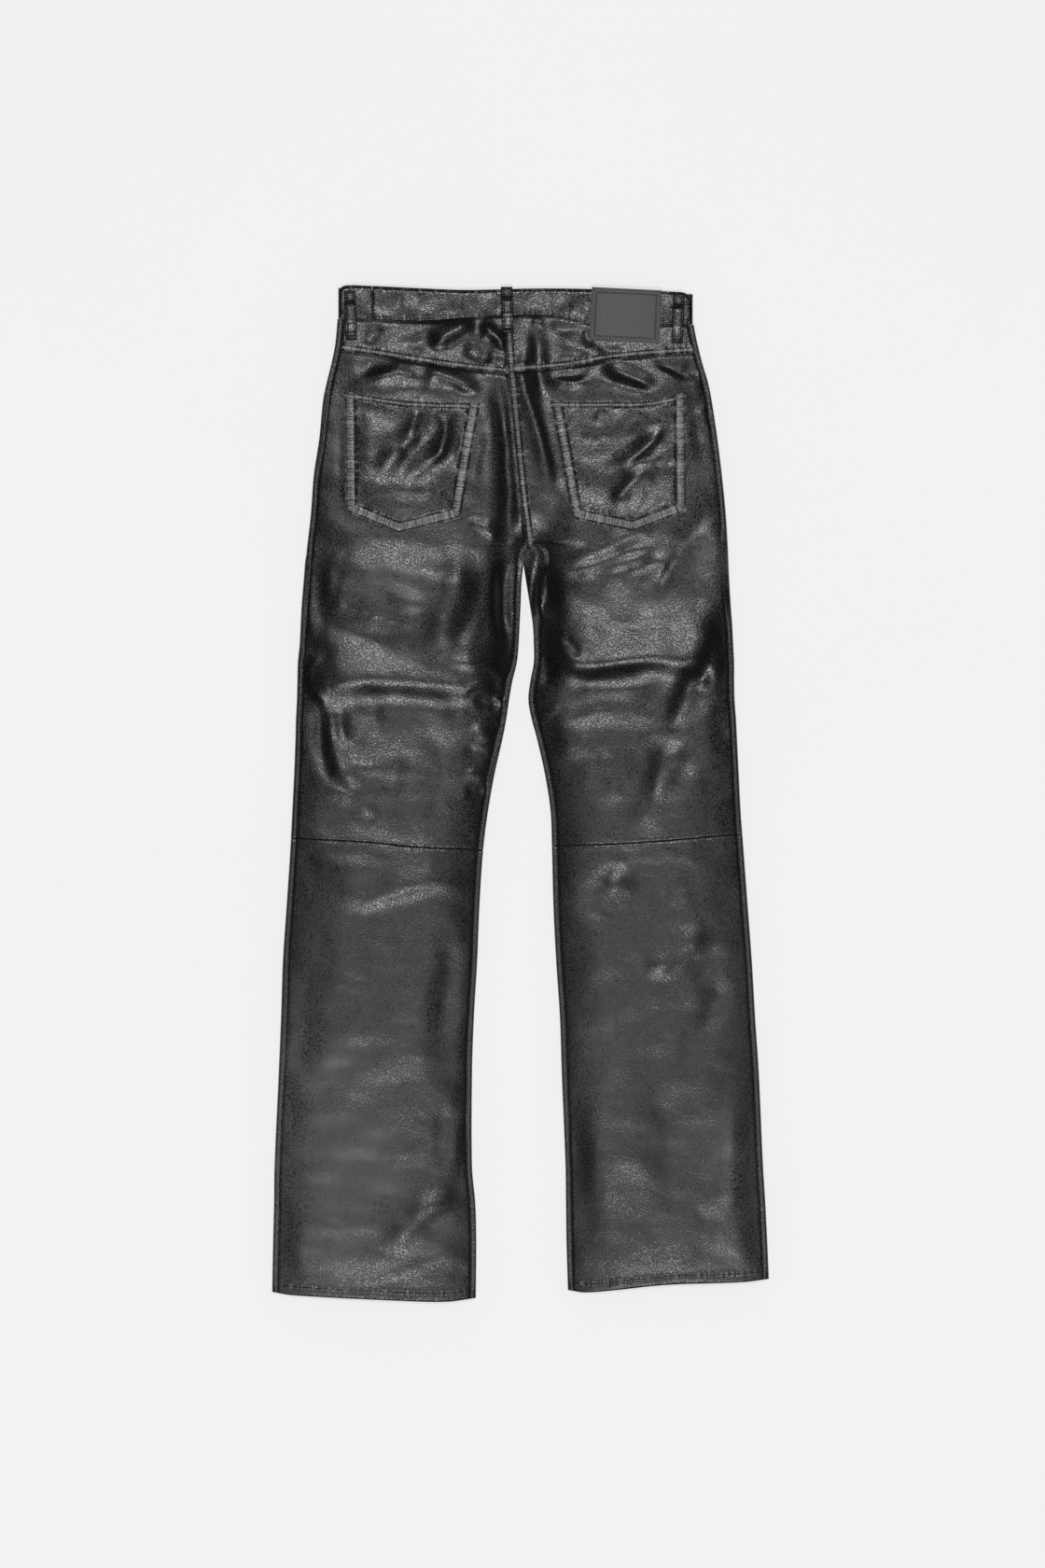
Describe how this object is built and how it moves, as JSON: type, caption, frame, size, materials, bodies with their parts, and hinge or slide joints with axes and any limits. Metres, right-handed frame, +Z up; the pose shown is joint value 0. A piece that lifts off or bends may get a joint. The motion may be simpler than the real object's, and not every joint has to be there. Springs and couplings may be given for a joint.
{
  "type": "leather trousers",
  "caption": "Black leather bootcut trousers laid out flat, back up, with yoke, patch pockets, belt loops, knee seams and a bare label patch.",
  "frame": {"origin": "floor level under the middle of the laid-out garment", "axes": "+Y from the hems to the waistband, +Z up out of the floor, +X to the right looking down, which is the wearer's right"},
  "size_m": [0.5327, 1.0891, 0.0168],
  "materials": {
    "black_leather": "fine-grained semi-gloss nappa",
    "trim_leather": "creased nappa, glossier on the folds",
    "label_leather": "smooth stiff leather with a pressed border",
    "button_metal": "dark nickel"
  },
  "bodies": {
    "root": {"back_lower_left": "black_leather", "back_lower_right": "black_leather", "back_upper_left": "black_leather", "back_upper_right": "black_leather", "fly_flap": "black_leather", "front_lower_left": "black_leather", "front_lower_right": "black_leather", "front_upper_left": "black_leather", "front_upper_right": "black_leather", "yoke_left": "black_leather", "yoke_right": "black_leather", "belt_loop_back": "trim_leather", "belt_loop_front_left": "trim_leather", "belt_loop_front_right": "trim_leather", "belt_loop_side_left": "trim_leather", "belt_loop_side_right": "trim_leather", "pocket_back_left": "trim_leather", "pocket_back_right": "trim_leather", "waistband_back": "trim_leather", "waistband_left": "trim_leather", "waistband_right": "trim_leather", "label_patch": "label_leather", "waist_button": "button_metal"}
  },
  "joints": []
}
